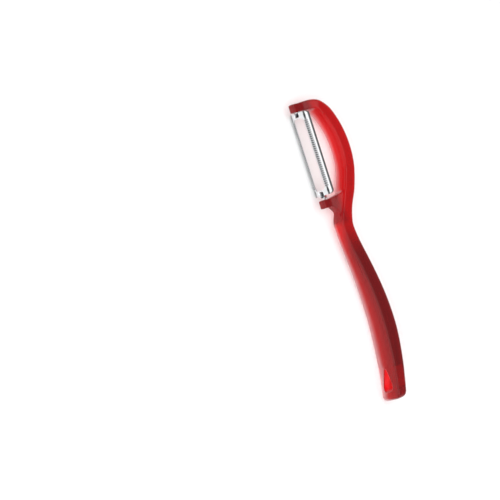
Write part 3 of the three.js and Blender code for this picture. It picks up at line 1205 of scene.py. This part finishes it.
@dataclass(frozen=True)
class Blade:
    """The blade: an arched strip with a toothed slot, and a rolled journal at each end.

    It is built with its convex side towards +Y and then turned about its axis.
    """

    pivot_span: float = 65.2
    arm_thickness: float = 5.2
    sheet: float = 0.5
    half_width: float = 7.6
    rise: float = 4.1
    axis_rise: float = 1.5
    upper_gap: float = 0.8
    lower_gap: float = 2.9
    corner_radius: float = 2.0
    upper_web: float = 3.9
    lower_web: float = 3.6
    slot_width: float = 7.0
    slot_corner: float = 1.6
    tooth_pitch: float = 1.4
    tooth_depth: float = 0.7
    flute_length: float = 2.7
    flute_sharpness: float = 1.3
    # Painted shade: a dark line along the cut outer edge, a dark band beside each end of the slot, and
    # a dark gutter bottom.
    line_width: float = 0.95
    line_fade: float = 0.25
    line_shade: float = 0.85
    shade_band: Pair = (4.6, 5.5)
    shade_band_strength: float = 0.9
    gutter_shade: float = 1.25
    fade_power: int = 6
    arch_power: float = 2.2
    edge_thickness: float = 0.12
    journal_radius: float = 1.2
    journal_recess: float = 0.3
    seam: float = 0.25
    turn: float = math.radians(9.5)
    steps_per_tooth: int = 10
    finish: StampedSteel = StampedSteel()

    @property
    def strip_top(self) -> float:
        """The strip's upper end."""
        return -self.arm_thickness / 2 - self.upper_gap

    @property
    def strip_bottom(self) -> float:
        """The strip's lower end."""
        return -self.pivot_span + self.arm_thickness / 2 + self.lower_gap

    def arch(self, z: float) -> float:
        """Returns the height of the sheet's middle at a distance from the blade's middle line."""
        share = abs(z) / self.half_width
        return self.rise * (1 - share**self.arch_power) - self.axis_rise + self.sheet / 2

    def outer_edge(self, x: float) -> float:
        """Finds the outer edge, which is round at the strip's corners.

        Args:
            x: The place along the blade.

        Returns:
            The distance from the middle line to the edge.
        """
        radius = self.corner_radius
        into = radius - min(self.strip_top - x, x - self.strip_bottom)
        if into <= 0:
            return self.half_width
        return self.half_width - radius + math.sqrt(max(radius**2 - into**2, 0.0))

    def slot_ends(self) -> tuple[float, float]:
        """Returns the slot's lower and upper end."""
        return self.strip_bottom + self.lower_web, self.strip_top - self.upper_web

    def teeth(self) -> tuple[float, float, int]:
        """Lays out the teeth.

        Returns:
            Where they start and end, and how many there are.
        """
        low, high = self.slot_ends()
        run = high - low - 2 * self.slot_corner
        return low + self.slot_corner, high - self.slot_corner, round(run / self.tooth_pitch)

    def flute(self, x: float) -> float:
        """Finds how deep in a flute a place is.

        Args:
            x: The place along the slot.

        Returns:
            0 on a tooth, 1 in a notch.
        """
        low, high, count = self.teeth()
        if not low < x < high:
            return 0.0
        phase = (x - low) / (high - low) * count
        wave = 0.5 - self.flute_sharpness * math.cos(2 * math.pi * phase)
        return min(max(wave, 0.0), 1.0)

    def slot_edge(self, x: float) -> float:
        """Finds the slot's edge, which is round at the ends and toothed between them.

        Args:
            x: The place along the slot.

        Returns:
            The distance from the middle line to the edge.
        """
        low, high = self.slot_ends()
        radius = self.slot_corner
        into = radius - min(high - x, x - low)
        half = self.slot_width / 2
        if into > 0:
            return half - radius + math.sqrt(max(radius**2 - into**2, 0.0))
        return half + self.tooth_depth * self.flute(x)

    def along_flute(self, z: float) -> float:
        """Returns how far along the flutes a place lies: 0 at the slot, 1 at their outer end."""
        return max((abs(z) - self.slot_width / 2) / self.flute_length, 0.0)

    def flute_depth(self, x: float, z: float) -> float:
        """Returns how much of the sheet's thickness a flute takes away: 1 is the most."""
        return self.flute(x) * max(0.0, 1 - self.along_flute(z))

    def shade(self, x: float, z: float) -> float:
        """Finds how much painted shade the steel takes; the same share makes it rough.

        Args:
            x: The place along the blade.
            z: The distance from the middle line.

        Returns:
            0 on the polished sheet, 1 for full painted shade: in a flute, along the cut outer edge and
            in the band beside the slot's ends.
        """
        flute = self.flute(x) * max(0.0, 1 - self.along_flute(z) ** self.fade_power)
        from_edge = self.outer_edge(x) - abs(z)
        edge = min(max((self.line_width - from_edge) / self.line_fade, 0.0), 1.0) * self.line_shade
        low, high, _ = self.teeth()
        # Painted shade in a band beside the slot's ends.
        in_shade_band = (x < low or x > high) and self.shade_band[0] < abs(z) < self.shade_band[1]
        return max(flute, edge, self.shade_band_strength if in_shade_band else 0.0)

    def rail_stations(self) -> list[float]:
        """Lists the rails' columns, from the slot's lower end to its upper.

        Returns:
            Their places along X.
        """
        low, high = self.slot_ends()
        first, last, count = self.teeth()
        angles = np.linspace(0, math.pi / 2, 7)[:-1]
        curve = [self.slot_corner * (1 - math.cos(angle)) for angle in angles]
        teeth = np.linspace(first, last, count * self.steps_per_tooth + 1)
        return [*(low + c for c in curve), *teeth, *(high - c for c in curve[::-1])]

    def build(self) -> bpy.types.Object:
        """Builds the blade's mesh.

        Returns:
            The blade's object.
        """
        sheet = Sheet(self)
        sheet.rails()
        for head in (True, False):
            sheet.web(head)
        return sheet.object("peeler_blade")

    def make(self, effects: Effects) -> bpy.types.Object:
        """Builds the blade, dresses it and joins it to the frame.

        Args:
            effects: The shared node groups.

        Returns:
            The blade's object.
        """
        blade = self.build()
        blade.data.materials.append(self.finish.material(effects))
        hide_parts("blade")
        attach(blade, Body.BLADE.value)
        return blade


class Sheet:
    """The blade's sheet as one surface of quads, which is then given its thickness."""

    RAIL_ROWS = 22
    WEB_ROWS = 22
    TONGUE_QUADS = 16
    GUTTER_HALF = 1.9
    SINK_START = 0.1
    SINK_RUN = 0.62
    UPPER_ROLL = 0.35
    LOWER_ROLL = 0.85
    ROLL_STEPS = (0.2, 0.4, 0.6, 0.8, 1.0)
    TUBE_STEPS = (0.1, 0.5, 0.9, 1.0)
    SHARP_ANGLE = math.radians(38)
    CLOSE = 1e-6

    def __init__(self, blade: Blade) -> None:
        """Starts an empty sheet.

        Args:
            blade: The blade's sizes.
        """
        self.blade = blade
        self.points: list[Vector] = []
        self.shades: list[float] = []
        self.quads: list[tuple[int, ...]] = []
        self.ends: dict[bool, dict[int, list[int]]] = {True: {}, False: {}}

    def add(self, point: Vector, shade: float = 0.0) -> int:
        """Adds a point of the sheet's middle surface.

        Args:
            point: The point.
            shade: How much painted shade its upper side takes; the same share makes it rough.

        Returns:
            Its number.
        """
        self.points.append(point)
        self.shades.append(shade)
        return len(self.points) - 1

    def fill(self, rows: Sequence[Sequence[int]]) -> None:
        """Adds the quads of a grid.

        Args:
            rows: The grid's rows of point numbers.
        """
        for first, second in zip(rows, rows[1:]):
            for i in range(len(first) - 1):
                self.quads.append((first[i], first[i + 1], second[i + 1], second[i]))

    def rails(self) -> None:
        """Adds the two rails beside the slot, from its edges to the outer ones."""
        blade = self.blade
        shares = np.linspace(0, 1, self.RAIL_ROWS)
        for side in (-1, 1):
            columns = []
            for x in blade.rail_stations():
                inner, outer = blade.slot_edge(x), blade.outer_edge(x)
                places = [mix(inner, outer, float(share)) for share in shares]
                column = [
                    self.add(spot(x, blade.arch(z), side * z), blade.shade(x, z)) for z in places
                ]
                columns.append(column)
            self.fill(columns if side < 0 else [column[::-1] for column in columns])
            self.ends[False][side] = columns[0]
            self.ends[True][side] = columns[-1]

    def groove(self, z: float, share: float) -> float:
        """Finds the height of the gutter's channel.

        Args:
            z: The distance from the middle line.
            share: How far the gutter has sunk: 0 at the slot, 1 at the strip's end.

        Returns:
            The height of the sheet's middle.
        """
        blade = self.blade
        radius = blade.journal_radius - blade.sheet / 2
        reach = min(abs(z) / self.GUTTER_HALF, 1.0)
        swell = (1 - math.cos(math.pi * reach**blade.arch_power)) / 2
        deep = -radius + (radius + blade.arch(0)) * swell
        return mix(blade.arch(z), min(deep, blade.arch(z)), share)

    def web(self, head: bool) -> None:
        """Adds the web at one end of the slot, its gutter, and the journal rolled from it.

        Args:
            head: True at the head's end, False at the grip's.
        """
        blade = self.blade
        low, high = blade.slot_ends()
        start, end = (high, blade.strip_top) if head else (low, blade.strip_bottom)
        left, right = self.ends[head][-1], self.ends[head][1]
        inner = blade.slot_width / 2 - blade.slot_corner
        middle = [float(z) for z in np.linspace(-inner, inner, self.TONGUE_QUADS + 1)[1:-1]]
        first = [*left[::-1], *(self.add(spot(start, blade.arch(z), z)) for z in middle), *right]
        places = [self.points[i].z for i in first]
        rows = [first]
        for step in np.linspace(0, 1, self.WEB_ROWS + 1)[1:].tolist():
            x = mix(start, end, step)
            sunk = ease(min(max((step - self.SINK_START) / self.SINK_RUN, 0.0), 1.0))
            row = []
            for place in places:
                z = place
                if abs(place) > inner + self.CLOSE:
                    beyond = (abs(place) - inner) / (blade.half_width - inner)
                    z = math.copysign(mix(inner, blade.outer_edge(x), beyond), place)
                # Painted shade in the gutter's bottom, which grows as the gutter sinks.
                fade = 1 - (abs(place) / blade.gutter_shade) ** blade.fade_power
                shade = max(min(1.0, 2 * sunk) * max(0.0, fade), blade.shade(x, z))
                row.append(self.add(spot(x, self.groove(z, sunk), z), shade))
            rows.append(row)
        self.fill(rows if not head else [row[::-1] for row in rows])
        edge = [i for i, place in zip(rows[-1], places) if abs(place) <= inner + self.CLOSE]
        self.roll(edge, end, head)

    def roll(self, edge: list[int], start: float, head: bool) -> None:
        """Rolls the tongue past the strip's end into the hollow journal.

        Args:
            edge: The tongue's points at the strip's end.
            start: Where the strip ends.
            head: True at the head's end.
        """
        blade = self.blade
        radius = blade.journal_radius - blade.sheet / 2
        face = blade.arm_thickness / 2 - blade.journal_recess
        finish = face if head else -blade.pivot_span - face
        gap = blade.upper_gap * self.UPPER_ROLL if head else -blade.lower_gap * self.LOWER_ROLL
        half_turn = math.pi - blade.seam / 2 / radius
        shapes = np.linspace(-1, 1, len(edge))
        rows = [edge]
        for step in self.ROLL_STEPS:
            row = []
            for number, share in zip(edge, shapes):
                angle = half_turn * share
                closed = spot(0, -radius * math.cos(angle), radius * math.sin(angle))
                place = self.points[number].lerp(closed, ease(step))
                row.append(self.add(spot(start + gap * step, place.y, place.z)))
            rows.append(row)
        tube = rows[-1]
        length = finish - (start + gap)
        for share in self.TUBE_STEPS:
            rows.append([self.add(self.points[i] + spot(length * share, 0)) for i in tube])
        self.fill(rows if not head else [row[::-1] for row in rows])

    def object(self, name: str) -> bpy.types.Object:
        """Gives the sheet its thickness and makes the object, in place.

        Args:
            name: The object's name.

        Returns:
            The object.
        """
        blade = self.blade
        points = np.array(self.points)
        quads = np.array(self.quads)
        normals = np.zeros_like(points)
        a, b, c, d = (points[quads[:, k]] for k in range(4))
        face_normals = np.cross(c - a, d - b)
        for k in range(4):
            np.add.at(normals, quads[:, k], face_normals)
        normals /= np.linalg.norm(normals, axis=1)[:, None]
        if normals[:, 1].sum() < 0:
            normals = -normals
        half = blade.sheet / 2
        slotted = np.array([blade.flute_depth(p.x, p.z) for p in self.points])
        upper = points + normals * (half - slotted * (blade.sheet - blade.edge_thickness))[:, None]
        lower = points - normals * half
        count = len(points)
        shape = bmesh.new()
        shade_layer = shape.verts.layers.float.new("shade")
        turn = Matrix.Rotation(blade.turn, 3, "X")
        corners = [shape.verts.new(PIVOT + turn @ Vector(p) * MM) for p in (*upper, *lower)]
        for corner, value in zip(corners, self.shades):
            corner[shade_layer] = value
        edges: dict[tuple[int, int], int] = {}
        for quad in self.quads:
            shape.faces.new([corners[i] for i in quad])
            shape.faces.new([corners[i + count] for i in reversed(quad)])
            for i, j in zip(quad, (*quad[1:], quad[0])):
                edges[i, j] = edges.get((i, j), 0) + 1
        for i, j in edges:
            if (j, i) not in edges:
                rim = (j, i, i + count, j + count)
                shape.faces.new([corners[k] for k in rim])
        smooth(shape)
        for edge in shape.edges:
            if len(edge.link_faces) == 2 and edge.calc_face_angle() > self.SHARP_ANGLE:
                edge.smooth = False
        return make_object(name, shape)


# ---- Studio -------------------------------------------------------------------------------------


@dataclass(frozen=True)
class Lamp:
    """A square soft light that faces the peeler: sizes in metres, power in watts.

    It can be kept out of the reflections, or be seen in the reflections alone.
    """

    name: str
    place: Triple
    size: float
    power: float
    mirrored: bool = True
    shining: bool = True

    def hang(self) -> None:
        """Adds the light."""
        data = bpy.data.lights.new(self.name, "AREA")
        data.size = self.size
        data.energy = self.power
        lamp = bpy.data.objects.new(self.name, data)
        lamp.location = self.place
        lamp.visible_glossy = self.mirrored
        lamp.visible_diffuse = self.shining
        lamp.visible_transmission = self.shining
        lamp.visible_volume_scatter = self.shining
        lamp.visible_camera = False
        lamp.rotation_euler = (-Vector(self.place)).to_track_quat("-Z", "Y").to_euler()
        bpy.context.scene.collection.objects.link(lamp)


@dataclass(frozen=True)
class Studio:
    """The camera, the lights and the floor."""

    elevation: float = math.radians(47.5)
    roll: float = math.radians(72.34)
    aim: Triple = (-78.8, 77.1, 0.0)
    view_width: float = 325.0
    lens: float = 150.0
    sensor: float = 36.0
    clip: Pair = (0.01, 100.0)
    surroundings: float = 0.35
    lamps: tuple[Lamp, ...] = (
        Lamp("overhead", (0.0, 0.1, 1.5), 2.2, 17.0),
        Lamp("camera_side", (-0.2, 1.9, 0.9), 2.8, 64.0, mirrored=False),
        Lamp("low_front", (0.0, 2.4, 0.7), 2.6, 16.0, shining=False),
    )
    floor_size: float = 6.0
    floor_quads: int = 8
    finish: PaleTop = PaleTop()

    def camera(self) -> bpy.types.Object:
        """Makes the camera.

        Returns:
            The camera's object.
        """
        data = bpy.data.cameras.new("camera")
        data.lens = self.lens
        data.sensor_width = self.sensor
        data.clip_start, data.clip_end = self.clip
        camera = bpy.data.objects.new("camera", data)
        bpy.context.scene.collection.objects.link(camera)
        back = Vector((0, math.cos(self.elevation), math.sin(self.elevation)))
        level = Vector((-1, 0, 0))
        upright = back.cross(level)
        right = level * math.cos(self.roll) + upright * math.sin(self.roll)
        up = back.cross(right)
        aim = Vector(self.aim)
        nearer = aim.dot(back)
        distance = self.view_width * self.lens / self.sensor - nearer
        turn = Matrix((right, up, back)).transposed().to_4x4()
        camera.matrix_world = Matrix.Translation(PIVOT + (aim + back * distance) * MM) @ turn
        bpy.context.scene.camera = camera
        return camera

    def light(self) -> None:
        """Adds the studio's soft lights and its pale surroundings."""
        world = bpy.data.worlds.new("surroundings")
        world.use_nodes = True
        bench = NodeBench(world.node_tree)
        background = world.node_tree.nodes["Background"]
        bench.feed(background.inputs["Color"], (1, 1, 1, 1))
        bench.feed(background.inputs["Strength"], self.surroundings)
        bpy.context.scene.world = world
        for lamp in self.lamps:
            lamp.hang()
        bpy.context.scene.view_settings.view_transform = "Standard"

    def floor(self, effects: Effects) -> bpy.types.Object:
        """Makes the floor.

        Args:
            effects: The shared node groups.

        Returns:
            The floor's object.
        """
        shape = bmesh.new()
        quads = self.floor_quads
        bmesh.ops.create_grid(
            shape, x_segments=quads, y_segments=quads, size=self.floor_size / 2
        )
        floor = make_object("floor", shape)
        floor.data.materials.append(self.finish.material(effects))
        return floor


def main() -> None:
    """Builds the studio and the peeler, and reports each piece."""
    logging.basicConfig(level=logging.INFO, format="%(name)s: %(message)s")
    studio = Studio()
    studio.camera()
    studio.light()
    effects = Effects(streaks_group(), clouds_group())
    studio.floor(effects)
    for part in (Handle(), Blade()):
        made = part.make(effects)
        log.info("%s: %d faces", made.name, len(made.data.polygons))


if __name__ == "__main__":
    main()
